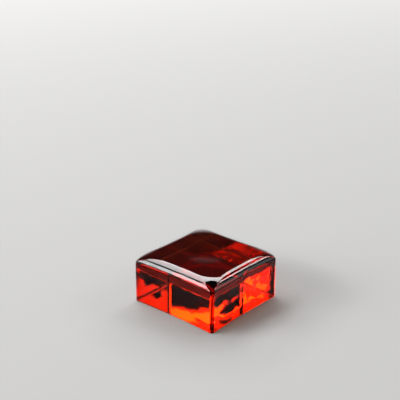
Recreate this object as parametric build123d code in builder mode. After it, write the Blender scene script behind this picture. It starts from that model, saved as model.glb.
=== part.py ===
from build123d import *
from math import cos, pi, sin
import os

# Solid cast glass block, lying on its flat underside. It is one casting: molten glass set in an open
# square mould. The four walls shrank from the mould, so each is drawn in along the middle of its length.
# The open top rolls over in a soft, fire-polished shoulder and sinks into a shallow dish, and the tight
# upright arrises fan out where they run into that roll.
# Millimetres, +Z up, walls square to X and Y, origin in the middle of the underside.

# Plan and height. The width is that of the square before its corners are rounded.
width = 100.0
thickness = 50.0
wall_sink = 1.6
arris_radius = 3.5
bed_edge = 0.6

# Crown: the roll over the top edge, and the dish inside it
shoulder_radius = 9.5
crown_corner_radius = 26.0
dish_margin = 9.0
dish_depth = 1.2

# How many steps shape the roll
roll_steps = 8


def between(start, end, share):
    """The value that lies a share of the way from start to end."""
    return start + (end - start) * share


def outline(section_width, corner_radius):
    """A square with rounded corners, whose sides are drawn in as the walls are."""
    half = section_width / 2
    side = Vector(half, -half), Vector(half - wall_sink, 0), Vector(half, half)
    with BuildSketch(mode=Mode.PRIVATE) as drawn:
        with BuildLine():
            for quarter in range(4):
                ThreePointArc(*(point.rotate(Axis.Z, 90 * quarter) for point in side))
        make_face()
        fillet(drawn.vertices(), corner_radius)
    return drawn.sketch


# The dish is a quartic surface on a square net of five by five points. Only its middle point is drawn
# down, so the dish meets the rim level on all sides. The surface sinks by a part of that pull.
rim_width = width - 2 * shoulder_radius
dish_width = rim_width - 2 * (wall_sink + dish_margin)
middle_weight = (3 / 8) ** 2
middle_point = 2
net = [
    [
        (
            dish_width * (column / 4 - 1 / 2),
            dish_width * (row / 4 - 1 / 2),
            thickness - (dish_depth / middle_weight if column == row == middle_point else 0),
        )
        for row in range(5)
    ]
    for column in range(5)
]
dish = Face.make_bezier_surface(net)

wall_top = thickness - shoulder_radius
with BuildPart() as glass_block:
    # Walls, from the underside to the start of the roll
    with BuildSketch():
        add(outline(width, arris_radius))
    extrude(amount=wall_top)

    # Roll over the top edge: the sections draw in along a quarter round while their corners widen
    for step in range(roll_steps + 1):
        turn = pi / 2 * step / roll_steps
        reach = 1 - cos(turn)
        with BuildSketch(Plane.XY.offset(wall_top + shoulder_radius * sin(turn))):
            add(
                outline(
                    between(width, rim_width, reach),
                    between(arris_radius, crown_corner_radius, reach),
                )
            )
    loft()

    # Dish in the top
    extrude(dish, amount=shoulder_radius, dir=(0, 0, 1), mode=Mode.SUBTRACT)

    # Edge that the block rests within
    chamfer(glass_block.edges().group_by(Axis.Z)[0], bed_edge)

glass_block.part.label = "glass_block"

os.makedirs("parts", exist_ok=True)
export_step(glass_block.part, "parts/glass_block.step")
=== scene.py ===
from collections import namedtuple
from math import atan2, cos, pi, radians, sin, sqrt, tan

import bpy
from bpy.props import FloatProperty, FloatVectorProperty, PointerProperty
from mathutils import Matrix, Vector, noise


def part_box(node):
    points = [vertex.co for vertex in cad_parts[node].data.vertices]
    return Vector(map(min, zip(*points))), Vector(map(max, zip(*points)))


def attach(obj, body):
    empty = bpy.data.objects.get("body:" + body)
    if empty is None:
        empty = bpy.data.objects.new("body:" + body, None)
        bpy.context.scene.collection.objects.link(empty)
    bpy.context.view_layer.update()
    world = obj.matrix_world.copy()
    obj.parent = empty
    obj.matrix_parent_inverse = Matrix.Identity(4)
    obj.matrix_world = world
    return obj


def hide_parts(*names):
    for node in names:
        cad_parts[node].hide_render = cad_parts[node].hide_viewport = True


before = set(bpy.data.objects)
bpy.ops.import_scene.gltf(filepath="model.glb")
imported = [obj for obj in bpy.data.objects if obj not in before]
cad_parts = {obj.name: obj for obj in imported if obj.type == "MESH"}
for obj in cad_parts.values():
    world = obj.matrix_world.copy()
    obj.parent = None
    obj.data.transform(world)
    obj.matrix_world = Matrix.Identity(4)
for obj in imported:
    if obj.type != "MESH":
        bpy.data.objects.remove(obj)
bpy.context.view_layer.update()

bl_info = {
    "name": "Cast Glass Block",
    "version": (1, 0, 0),
    "blender": (4, 5, 0),
    "location": "3D View > Sidebar > Glass Block",
    "description": "Casts a solid glass block with rolled shoulders and sets it in a studio",
    "category": "Add Mesh",
}

BLOCK_NODE = "glass_block"
BOX_LOW, BOX_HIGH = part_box(BLOCK_NODE)


class BlockForm(bpy.types.PropertyGroup):
    """Sizes of the casting."""

    overall_width: FloatProperty(
        name="Overall width",
        description="Across the block at its rounded corners",
        default=BOX_HIGH.x - BOX_LOW.x,
        unit="LENGTH",
    )
    thickness: FloatProperty(
        name="Thickness",
        description="From the underside to the highest line of the crown",
        default=BOX_HIGH.z - BOX_LOW.z,
        unit="LENGTH",
    )
    wall_sink: FloatProperty(
        name="Wall sink",
        description="How far each wall shrank from the mould at the middle of its length",
        default=0.0016,
        unit="LENGTH",
    )
    arris_radius: FloatProperty(
        name="Arris radius", description="Rounding of the upright edges", default=0.0035, unit="LENGTH"
    )
    bed_edge: FloatProperty(
        name="Bed edge",
        description="Rounding of the edge round the underside",
        default=0.0006,
        unit="LENGTH",
    )
    shoulder_radius: FloatProperty(
        name="Shoulder radius",
        description="Roll from the walls into the top",
        default=0.0095,
        unit="LENGTH",
    )
    crown_corner_radius: FloatProperty(
        name="Crown corner radius",
        description="Plan radius of the top at its corners, where the arrises fan out",
        default=0.026,
        unit="LENGTH",
    )
    dish_margin: FloatProperty(
        name="Dish margin",
        description="Level glass between the roll and the dish",
        default=0.009,
        unit="LENGTH",
    )
    dish_depth: FloatProperty(
        name="Dish depth", description="Sinking of the middle of the top", default=0.0012, unit="LENGTH"
    )


class BlockRelief(bpy.types.PropertyGroup):
    """Waves that the mould and the cooling left in the faces."""

    wall_swell: FloatProperty(
        name="Wall swell",
        description="Height of the long waves in the walls",
        default=0.00014,
        unit="LENGTH",
    )
    wall_swell_length: FloatProperty(
        name="Wall swell length",
        description="Length of the long waves in the walls",
        default=0.021,
        unit="LENGTH",
    )
    right_wall_swell: FloatProperty(
        name="Right wall swell",
        description="Height of the waves that only the +X wall has",
        default=0.0004,
        unit="LENGTH",
    )
    right_wall_swell_length: FloatProperty(
        name="Right wall swell length",
        description="Length of the waves that only the +X wall has",
        default=0.017,
        unit="LENGTH",
    )
    right_wall_ripple: FloatProperty(
        name="Right wall ripple",
        description="Height of the finer ripples that only the +X wall has",
        default=0.00006,
        unit="LENGTH",
    )
    back_wall_ripple: FloatProperty(
        name="Back wall ripple",
        description="Height of the finer ripples at the +X end of the +Y wall",
        default=0.00004,
        unit="LENGTH",
    )
    wall_ripple: FloatProperty(
        name="Wall ripple",
        description="Height of the chill ripples in the walls",
        default=0.00001,
        unit="LENGTH",
    )
    wall_ripple_length: FloatProperty(
        name="Wall ripple length",
        description="Length of the chill ripples in the walls",
        default=0.0065,
        unit="LENGTH",
    )
    top_swell: FloatProperty(
        name="Top swell",
        description="Height of the waves in the fire-polished top",
        default=0.00008,
        unit="LENGTH",
    )
    top_swell_length: FloatProperty(
        name="Top swell length",
        description="Length of the waves in the top",
        default=0.024,
        unit="LENGTH",
    )


class GlassBatch(bpy.types.PropertyGroup):
    """Colour and polish of the glass."""

    tint: FloatVectorProperty(
        name="Tint",
        description="Colour that the glass lets through at its density",
        subtype="COLOR",
        size=3,
        min=0.0,
        max=1.0,
        default=(0.85, 0.46, 0.0),
    )
    density: FloatProperty(
        name="Density", description="Strength of the tint for each metre of glass", default=95.0
    )
    refraction: FloatProperty(name="Refraction", description="Refractive index of the glass", default=1.5)
    wall_reflection: FloatVectorProperty(
        name="Wall reflection",
        description="Colour of what the mould-chilled walls reflect face on",
        subtype="COLOR",
        size=3,
        min=0.0,
        max=1.0,
        default=(0.25, 0.04, 0.04),
    )
    crown_refraction: FloatProperty(
        name="Crown refraction",
        description="Refractive index of the fire-polished skin of the crown",
        default=1.7,
    )
    crown_roughness: FloatProperty(
        name="Crown roughness", description="Roughness of the glass under the skin of the crown", default=0.0
    )
    skin_roughness: FloatProperty(
        name="Skin roughness", description="Roughness of the fire-polished skin of the crown", default=0.02
    )
    wall_roughness: FloatProperty(
        name="Wall roughness", description="Most roughness that the mould left on the walls", default=0.025
    )
    mottle_length: FloatProperty(
        name="Mottle length",
        description="Length of the patches of rougher wall",
        default=0.009,
        unit="LENGTH",
    )
    chill_height: FloatProperty(
        name="Chill mark height",
        description="Height of the fine chill marks in the walls",
        default=0.000004,
        unit="LENGTH",
    )
    chill_length: FloatProperty(
        name="Chill mark length",
        description="Length of the fine chill marks in the walls",
        default=0.003,
        unit="LENGTH",
    )


class StudioSet(bpy.types.PropertyGroup):
    """Floor, backdrop and camera."""

    floor_colour: FloatVectorProperty(
        name="Floor colour",
        description="Pale matt floor",
        subtype="COLOR",
        size=3,
        min=0.0,
        max=1.0,
        default=(0.43, 0.427, 0.42),
    )
    floor_reach: FloatProperty(
        name="Floor reach", description="From the block to each side of the floor", default=9.0, unit="LENGTH"
    )
    floor_gap: FloatProperty(
        name="Floor gap",
        description="Air under the block, without which its underside wouldn't mirror as glass does",
        default=0.0001,
        unit="LENGTH",
    )
    floor_roughness: FloatProperty(name="Floor roughness", description="Roughness of the floor", default=0.9)
    floor_gloss: FloatProperty(name="Floor gloss", description="Specular level of the floor", default=0.1)
    horizon_colour: FloatVectorProperty(
        name="Horizon colour",
        description="Pale backdrop low down",
        subtype="COLOR",
        size=3,
        min=0.0,
        max=1.0,
        default=(0.6, 0.6, 0.6),
    )
    ceiling_colour: FloatVectorProperty(
        name="Ceiling colour",
        description="Dim studio above the backdrop",
        subtype="COLOR",
        size=3,
        min=0.0,
        max=1.0,
        default=(0.012, 0.012, 0.014),
    )
    horizon_top: FloatProperty(
        name="Horizon top", description="Sine of the height at which the backdrop starts to dim", default=0.17
    )
    ceiling_foot: FloatProperty(
        name="Ceiling foot", description="Sine of the height at which the ceiling starts", default=0.39
    )
    camera_place: FloatVectorProperty(
        name="Camera place",
        description="Where the camera stands",
        subtype="TRANSLATION",
        size=3,
        default=(0.5085, -0.6041, 0.4327),
    )
    camera_heading: FloatProperty(
        name="Camera heading",
        description="Turn of the view from +Y towards -X",
        default=radians(40.55),
        unit="ROTATION",
    )
    camera_dip: FloatProperty(
        name="Camera dip",
        description="How far the view looks down",
        default=radians(22.525),
        unit="ROTATION",
    )
    camera_roll: FloatProperty(
        name="Camera roll",
        description="Turn about the line of sight",
        default=radians(0.36),
        unit="ROTATION",
    )
    lens: FloatProperty(name="Lens", description="Focal length of the camera in millimetres", default=81.0)
    sensor: FloatProperty(
        name="Sensor", description="Width of the camera's sensor in millimetres", default=36.0
    )


# How finely the mesh is divided: round each quarter of an outline, and from ring to ring
SIDE_STEPS = 120
CORNER_STEPS = 16
BED_RINGS = 20
EDGE_RINGS = 3
WALL_RINGS = 60
ROLL_RINGS = 18
TOP_RINGS = 44

# Rounds in which the sharp-cornered square is fitted to the overall width
FIT_ROUNDS = 4

# Octaves of noise in a plain wave, and in one that a finer wave breaks up
PLAIN = 1
BROKEN = 2

# How much weaker and how much shorter each finer octave is
OCTAVE_FADE = 1.0
OCTAVE_STEP = 2.0

# Moves the waves that only one wall has along the noise, so that they differ from those that all walls have
OWN_WAVES_OFFSET = Vector((0, 0.3, 0))

# How far the ripples of the +Y wall take to reach their full height, from its middle
BACK_RIPPLE_RUN_IN = 0.015

# Where the polish of the crown begins and is full, in shares of the shoulder radius below the top
CROWN_START = 0.80
CROWN_FULL = 0.68

# Levels of the mottle's noise at which a wall is still clear, and at which it is as rough as it gets
MOTTLE_CLEAR = 0.4
MOTTLE_ROUGH = 0.65
MOTTLE_DETAIL = 2.0
CHILL_DETAIL = 1.0

# Watts for each square metre of a lamp that give it a radiance of one
LAMP_WATTS = 4

# Bounces that light needs to find its way out of the block
MAX_BOUNCES = 16
GLOSSY_BOUNCES = 12

# A lamp round the block. Heading, from +Y towards -X, and lift, above the horizon, are those of its middle,
# and width and height are how large it looks from the block: all four in degrees. Distance is in metres.
# A lamp that isn't mirrored shows only through the glass, and not on its skin.
Lamp = namedtuple("Lamp", "name heading lift distance width height radiance mirrored")
LAMPS = (
    Lamp("left_front_box", 143.0, 21.0, 7.0, 44.0, 26.0, 5.4, True),
    Lamp("front_card", 168.0, 27.5, 4.2, 16.0, 6.0, 6.0, False),
    Lamp("left_front_strip", 143.0, 28.8, 3.9, 44.0, 1.2, 45.0, False),
    Lamp("left_front_card", 141.0, 24.3, 4.2, 11.0, 3.6, 30.0, False),
    Lamp("left_arris_strip", 68.0, 28.7, 4.4, 35.0, 3.0, 18.0, False),
    Lamp("right_arris_strip", 12.0, 28.7, 4.4, 29.0, 3.0, 16.0, False),
    Lamp("far_strip", 40.5, 29.9, 4.4, 26.0, 0.9, 40.0, False),
    Lamp("far_glow", 40.5, 30.4, 4.6, 28.0, 2.9, 5.0, False),
    Lamp("right_back_card", -42.0, 33.0, 4.4, 48.0, 10.0, 4.0, True),
)

# A softbox over the block, level and facing down. Its corners, lowest and highest in X and Y, are given for a
# box that hangs one metre up, and grow with the level in metres at which it hangs.
Overhead = namedtuple("Overhead", "name low_corner high_corner level radiance")
OVERHEADS = (
    Overhead("overhead_left_box", Vector((-0.98, -0.60)), Vector((-0.45, 0.85)), 4.2, 4.3),
    Overhead("overhead_back_box", Vector((-0.45, 0.62)), Vector((0.10, 1.18)), 4.2, 4.0),
)


def clamp(value):
    """The value, kept from 0 to 1."""
    return min(1.0, max(0.0, value))


def side_arc(half, sink):
    """Radius of the long arc that a sunk side follows, and the distance of its centre from the middle."""
    bow = (half**2 + sink**2) / (2 * sink)
    return bow, half - sink + bow


def corner_seat(half, sink, corner):
    """Where the centre of a rounded corner lies, the same distance in X and in Y."""
    bow, far = side_arc(half, sink)
    return (far - sqrt(2 * (bow + corner) ** 2 - far**2)) / 2


def sharp_half(overall, sink, corner):
    """Half the width of the sharp-cornered square whose rounded corners reach the overall width."""
    half = overall / 2
    for _ in range(FIT_ROUNDS):
        half += overall / 2 - (corner_seat(half, sink, corner) + corner)
    return half


def outline(half, sink, corner):
    """Points round a square with sunk sides and rounded corners."""
    bow, far = side_arc(half, sink)
    seat = corner_seat(half, sink, corner)
    meet = atan2(seat, far - seat)
    quarter = []
    for step in range(SIDE_STEPS):
        turn = meet * (2 * step / SIDE_STEPS - 1)
        quarter.append((far - bow * cos(turn), bow * sin(turn)))
    for step in range(CORNER_STEPS):
        turn = -meet + (pi / 2 + 2 * meet) * step / CORNER_STEPS
        quarter.append((seat + corner * cos(turn), seat + corner * sin(turn)))
    points = []
    for _ in range(4):
        points += quarter
        quarter = [(-y, x) for x, y in quarter]
    return points


def dish_level(form, rim_half, x, y):
    """How far the dish has sunk at a place on the top."""
    reach = rim_half - form.wall_sink - form.dish_margin
    across = max(0.0, 1 - (x / reach) ** 2)
    along = max(0.0, 1 - (y / reach) ** 2)
    return form.dish_depth * (across * along) ** 2


def block_rings(form):
    """Rings of points from the middle of the underside, up the walls and in to the middle of the top."""
    half = sharp_half(form.overall_width, form.wall_sink, form.arris_radius)
    bed = outline(half - form.bed_edge, form.wall_sink, form.arris_radius)
    wall = outline(half, form.wall_sink, form.arris_radius)
    wall_top = form.thickness - form.shoulder_radius
    rings = []
    for ring in range(1, BED_RINGS + 1):
        share = ring / BED_RINGS
        rings.append([(x * share, y * share, 0.0) for x, y in bed])
    for ring in range(1, EDGE_RINGS + 1):
        turn = pi / 2 * ring / EDGE_RINGS
        inset = form.bed_edge * (1 - sin(turn))
        level = form.bed_edge * (1 - cos(turn))
        rings.append([(x, y, level) for x, y in outline(half - inset, form.wall_sink, form.arris_radius)])
    for ring in range(1, WALL_RINGS + 1):
        level = form.bed_edge + (wall_top - form.bed_edge) * ring / WALL_RINGS
        rings.append([(x, y, level) for x, y in wall])
    for ring in range(1, ROLL_RINGS + 1):
        turn = pi / 2 * ring / ROLL_RINGS
        reach = 1 - cos(turn)
        corner = form.arris_radius + (form.crown_corner_radius - form.arris_radius) * reach
        level = wall_top + form.shoulder_radius * sin(turn)
        drawn = outline(half - form.shoulder_radius * reach, form.wall_sink, corner)
        rings.append([(x, y, level) for x, y in drawn])
    rim_half = half - form.shoulder_radius
    rim = outline(rim_half, form.wall_sink, form.crown_corner_radius)
    for ring in range(1, TOP_RINGS):
        share = 1 - ring / TOP_RINGS
        rings.append(
            [
                (x * share, y * share, form.thickness - dish_level(form, rim_half, x * share, y * share))
                for x, y in rim
            ]
        )
    return rings


def ring_mesh(name, rings, start, end):
    """A closed mesh through rings of equal length, capped by fans to a start and an end point."""
    count = len(rings[0])
    points = [start] + [point for ring in rings for point in ring] + [end]
    faces = []
    last = len(points) - 1
    inner = last - count
    for step in range(count):
        following = (step + 1) % count
        faces.append((0, 1 + following, 1 + step))
        faces.append((last, inner + step, inner + following))
        for ring in range(len(rings) - 1):
            low = 1 + ring * count
            high = low + count
            faces.append((low + step, low + following, high + following, high + step))
    mesh = bpy.data.meshes.new(name)
    mesh.from_pydata(points, [], faces)
    mesh.update()
    return mesh


def wave(place, length, octaves):
    """A smooth unevenness from 0 to 1, with waves about a given length apart."""
    return clamp(0.5 + noise.fractal(place / length, OCTAVE_FADE, OCTAVE_STEP, octaves) / 2)


def sink_relief(mesh, form, relief):
    """Presses the waves into the faces, always inward, and leaves the underside flat.

    All walls have the same waves. The +X wall has deeper ones besides, and the +Y wall ripples towards +X.
    """
    wall_top = form.thickness - form.shoulder_radius
    normals = [Vector(item.vector) for item in mesh.vertex_normals]
    for vertex, normal in zip(mesh.vertices, normals):
        place = vertex.co
        if place.z <= form.bed_edge:
            continue
        crown = clamp((place.z - wall_top) / form.shoulder_radius)
        walls = (1 - crown) * clamp((place.z - form.bed_edge) / form.shoulder_radius)
        right = max(0.0, normal.x) ** 2
        back = max(0.0, normal.y) ** 2 * clamp(place.x / BACK_RIPPLE_RUN_IN)
        aside = place + OWN_WAVES_OFFSET
        wall_depth = relief.wall_swell * wave(place, relief.wall_swell_length, BROKEN)
        wall_depth += relief.wall_ripple * wave(place, relief.wall_ripple_length, PLAIN)
        wall_depth += right * relief.right_wall_swell * wave(aside, relief.right_wall_swell_length, BROKEN)
        wall_depth += right * relief.right_wall_ripple * wave(aside, relief.wall_ripple_length, PLAIN)
        wall_depth += back * relief.back_wall_ripple * wave(aside, relief.wall_ripple_length, BROKEN)
        top_depth = relief.top_swell * wave(place, relief.top_swell_length, BROKEN)
        vertex.co -= normal * (walls * wall_depth + crown * top_depth)


def glass_material(batch, form):
    """Clear glass, tinted right through: its crown fire-polished, its walls faintly mottled by the mould."""
    material = bpy.data.materials.new("red_cast_glass")
    material.use_nodes = True
    tree = material.node_tree
    link = tree.links.new
    output = tree.nodes["Material Output"]
    skin = tree.nodes["Principled BSDF"]
    skin.inputs["Base Color"].default_value = (1, 1, 1, 1)
    skin.inputs["IOR"].default_value = batch.refraction
    skin.inputs["Transmission Weight"].default_value = 1.0
    skin.inputs["Specular Tint"].default_value = (*batch.wall_reflection, 1)
    skin.inputs["Coat Roughness"].default_value = batch.skin_roughness
    skin.inputs["Coat IOR"].default_value = batch.crown_refraction

    # Tint of the glass
    body = tree.nodes.new("ShaderNodeVolumeAbsorption")
    body.inputs["Color"].default_value = (*batch.tint, 1)
    body.inputs["Density"].default_value = batch.density
    link(body.outputs["Volume"], output.inputs["Volume"])

    # From 0 on the walls to 1 on the crown, which has a skin of its own
    place = tree.nodes.new("ShaderNodeTexCoord")
    height = tree.nodes.new("ShaderNodeSeparateXYZ")
    crown = tree.nodes.new("ShaderNodeMapRange")
    crown.interpolation_type = "SMOOTHSTEP"
    crown.inputs["From Min"].default_value = form.thickness - form.shoulder_radius * CROWN_START
    crown.inputs["From Max"].default_value = form.thickness - form.shoulder_radius * CROWN_FULL
    link(place.outputs["Object"], height.inputs["Vector"])
    link(height.outputs["Z"], crown.inputs["Value"])
    link(crown.outputs["Result"], skin.inputs["Coat Weight"])

    # Mottle: patches of the walls are a little rougher, and the crown is polished
    mottle = tree.nodes.new("ShaderNodeTexNoise")
    mottle.inputs["Scale"].default_value = 1 / batch.mottle_length
    mottle.inputs["Detail"].default_value = MOTTLE_DETAIL
    patches = tree.nodes.new("ShaderNodeMapRange")
    patches.inputs["From Min"].default_value = MOTTLE_CLEAR
    patches.inputs["From Max"].default_value = MOTTLE_ROUGH
    patches.inputs["To Min"].default_value = batch.crown_roughness
    patches.inputs["To Max"].default_value = batch.wall_roughness
    polish = tree.nodes.new("ShaderNodeMapRange")
    polish.inputs["To Max"].default_value = batch.crown_roughness
    link(place.outputs["Object"], mottle.inputs["Vector"])
    link(mottle.outputs["Fac"], patches.inputs["Value"])
    link(crown.outputs["Result"], polish.inputs["Value"])
    link(patches.outputs["Result"], polish.inputs["To Min"])
    link(polish.outputs["Result"], skin.inputs["Roughness"])

    # Chill marks: fine bumps on the walls alone
    marks = tree.nodes.new("ShaderNodeTexNoise")
    marks.inputs["Scale"].default_value = 1 / batch.chill_length
    marks.inputs["Detail"].default_value = CHILL_DETAIL
    walls = tree.nodes.new("ShaderNodeMapRange")
    walls.inputs["To Min"].default_value = 1.0
    walls.inputs["To Max"].default_value = 0.0
    chill = tree.nodes.new("ShaderNodeBump")
    chill.inputs["Distance"].default_value = batch.chill_height
    link(place.outputs["Object"], marks.inputs["Vector"])
    link(crown.outputs["Result"], walls.inputs["Value"])
    link(walls.outputs["Result"], chill.inputs["Strength"])
    link(marks.outputs["Fac"], chill.inputs["Height"])
    link(chill.outputs["Normal"], skin.inputs["Normal"])
    return material


class CastBlock(bpy.types.Operator):
    """Cast the glass block in one piece."""

    bl_idname = "glassblock.cast_block"
    bl_label = "Cast Block"

    def execute(self, context):
        form = context.scene.block_form
        bed_middle = (0, 0, 0)
        dish_middle = (0, 0, form.thickness - form.dish_depth)
        mesh = ring_mesh("cast_glass_block", block_rings(form), bed_middle, dish_middle)
        sink_relief(mesh, form, context.scene.block_relief)
        mesh.polygons.foreach_set("use_smooth", [True] * len(mesh.polygons))
        mesh.materials.append(glass_material(context.scene.glass_batch, form))
        block = bpy.data.objects.new("cast_glass_block", mesh)
        context.scene.collection.objects.link(block)
        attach(block, "root")
        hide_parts(BLOCK_NODE)
        return {"FINISHED"}


class LayFloor(bpy.types.Operator):
    """Lay the pale floor."""

    bl_idname = "glassblock.lay_floor"
    bl_label = "Lay Floor"

    def execute(self, context):
        studio = context.scene.studio_set
        reach = studio.floor_reach
        level = -studio.floor_gap
        corners = [(x * reach, y * reach, level) for x, y in ((-1, -1), (1, -1), (1, 1), (-1, 1))]
        mesh = bpy.data.meshes.new("studio_floor")
        mesh.from_pydata(corners, [], [(0, 1, 2, 3)])
        material = bpy.data.materials.new("pale_floor")
        material.use_nodes = True
        matt = material.node_tree.nodes["Principled BSDF"]
        matt.inputs["Base Color"].default_value = (*studio.floor_colour, 1)
        matt.inputs["Roughness"].default_value = studio.floor_roughness
        matt.inputs["Specular IOR Level"].default_value = studio.floor_gloss
        mesh.materials.append(material)
        floor = bpy.data.objects.new("studio_floor", mesh)
        context.scene.collection.objects.link(floor)
        return {"FINISHED"}


def hang(context, name, size_x, size_y, radiance, place, aim):
    """Hangs a rectangular lamp of an even radiance, which faces along aim."""
    light = bpy.data.lights.new(name, "AREA")
    light.shape = "RECTANGLE"
    light.size = size_x
    light.size_y = size_y
    light.energy = LAMP_WATTS * radiance * size_x * size_y
    lamp = bpy.data.objects.new(name, light)
    lamp.location = place
    lamp.rotation_euler = aim.to_track_quat("-Z", "Y").to_euler()
    context.scene.collection.objects.link(lamp)
    return lamp


class HangLamps(bpy.types.Operator):
    """Hang the studio's soft lamps."""

    bl_idname = "glassblock.hang_lamps"
    bl_label = "Hang Lamps"

    def execute(self, context):
        middle = Vector((0, 0, context.scene.block_form.thickness / 2))
        for lamp in LAMPS:
            heading, lift = radians(lamp.heading), radians(lamp.lift)
            away = Vector((-sin(heading) * cos(lift), cos(heading) * cos(lift), sin(lift)))
            size_x = 2 * lamp.distance * tan(radians(lamp.width / 2)) * cos(lift)
            size_y = 2 * lamp.distance * tan(radians(lamp.height / 2))
            place = middle + away * lamp.distance
            hung = hang(context, lamp.name, size_x, size_y, lamp.radiance, place, -away)
            hung.visible_glossy = lamp.mirrored
        for box in OVERHEADS:
            size = (box.high_corner - box.low_corner) * box.level
            centre = (box.low_corner + box.high_corner) / 2 * box.level
            place = Vector((*centre, box.level))
            hang(context, box.name, size.x, size.y, box.radiance, place, Vector((0, 0, -1)))
        return {"FINISHED"}


class DrawBackdrop(bpy.types.Operator):
    """Draw the pale backdrop that darkens towards the ceiling."""

    bl_idname = "glassblock.draw_backdrop"
    bl_label = "Draw Backdrop"

    def execute(self, context):
        studio = context.scene.studio_set
        world = bpy.data.worlds.new("studio")
        world.use_nodes = True
        context.scene.world = world
        tree = world.node_tree
        tree.nodes.clear()
        output = tree.nodes.new("ShaderNodeOutputWorld")
        sky = tree.nodes.new("ShaderNodeBackground")
        place = tree.nodes.new("ShaderNodeTexCoord")
        split = tree.nodes.new("ShaderNodeSeparateXYZ")
        ramp = tree.nodes.new("ShaderNodeValToRGB")
        tree.links.new(place.outputs["Generated"], split.inputs["Vector"])
        tree.links.new(split.outputs["Z"], ramp.inputs["Fac"])
        tree.links.new(ramp.outputs["Color"], sky.inputs["Color"])
        tree.links.new(sky.outputs["Background"], output.inputs["Surface"])
        ramp.color_ramp.interpolation = "EASE"
        low, high = ramp.color_ramp.elements
        low.position, low.color = studio.horizon_top, (*studio.horizon_colour, 1)
        high.position, high.color = studio.ceiling_foot, (*studio.ceiling_colour, 1)
        return {"FINISHED"}


class PlaceCamera(bpy.types.Operator):
    """Stand the camera where it looks down on a corner of the block."""

    bl_idname = "glassblock.place_camera"
    bl_label = "Place Camera"

    def execute(self, context):
        studio = context.scene.studio_set
        data = bpy.data.cameras.new("studio_camera")
        data.lens = studio.lens
        data.sensor_width = studio.sensor
        camera = bpy.data.objects.new("studio_camera", data)
        turn = Matrix.Rotation(studio.camera_heading, 4, "Z")
        dip = Matrix.Rotation(pi / 2 - studio.camera_dip, 4, "X")
        roll = Matrix.Rotation(studio.camera_roll, 4, "Z")
        camera.matrix_world = Matrix.Translation(studio.camera_place) @ turn @ dip @ roll
        context.scene.collection.objects.link(camera)
        context.scene.camera = camera
        context.scene.view_settings.view_transform = "Standard"
        context.scene.cycles.max_bounces = MAX_BOUNCES
        context.scene.cycles.glossy_bounces = GLOSSY_BOUNCES
        context.scene.cycles.transmission_bounces = MAX_BOUNCES
        return {"FINISHED"}


class GlassBlockPanel(bpy.types.Panel):
    """Sizes and steps of the glass block."""

    bl_label = "Glass Block"
    bl_idname = "VIEW3D_PT_glass_block"
    bl_space_type = "VIEW_3D"
    bl_region_type = "UI"
    bl_category = "Glass Block"

    def draw(self, context):
        layout = self.layout
        for group_name in GROUPS:
            group = getattr(context.scene, group_name)
            for name in group.__annotations__:
                layout.prop(group, name)
        for step in STEPS:
            layout.operator(step.bl_idname)


GROUPS = {
    "block_form": BlockForm,
    "block_relief": BlockRelief,
    "glass_batch": GlassBatch,
    "studio_set": StudioSet,
}
STEPS = (PlaceCamera, CastBlock, LayFloor, DrawBackdrop, HangLamps)


def register():
    for name, group in GROUPS.items():
        bpy.utils.register_class(group)
        setattr(bpy.types.Scene, name, PointerProperty(type=group))
    for step in STEPS:
        bpy.utils.register_class(step)
    bpy.utils.register_class(GlassBlockPanel)


def unregister():
    bpy.utils.unregister_class(GlassBlockPanel)
    for step in reversed(STEPS):
        bpy.utils.unregister_class(step)
    for name, group in reversed(list(GROUPS.items())):
        delattr(bpy.types.Scene, name)
        bpy.utils.unregister_class(group)


def main():
    register()
    bpy.ops.glassblock.place_camera()
    bpy.ops.glassblock.cast_block()
    bpy.ops.glassblock.lay_floor()
    bpy.ops.glassblock.draw_backdrop()
    bpy.ops.glassblock.hang_lamps()


if __name__ == "__main__":
    main()
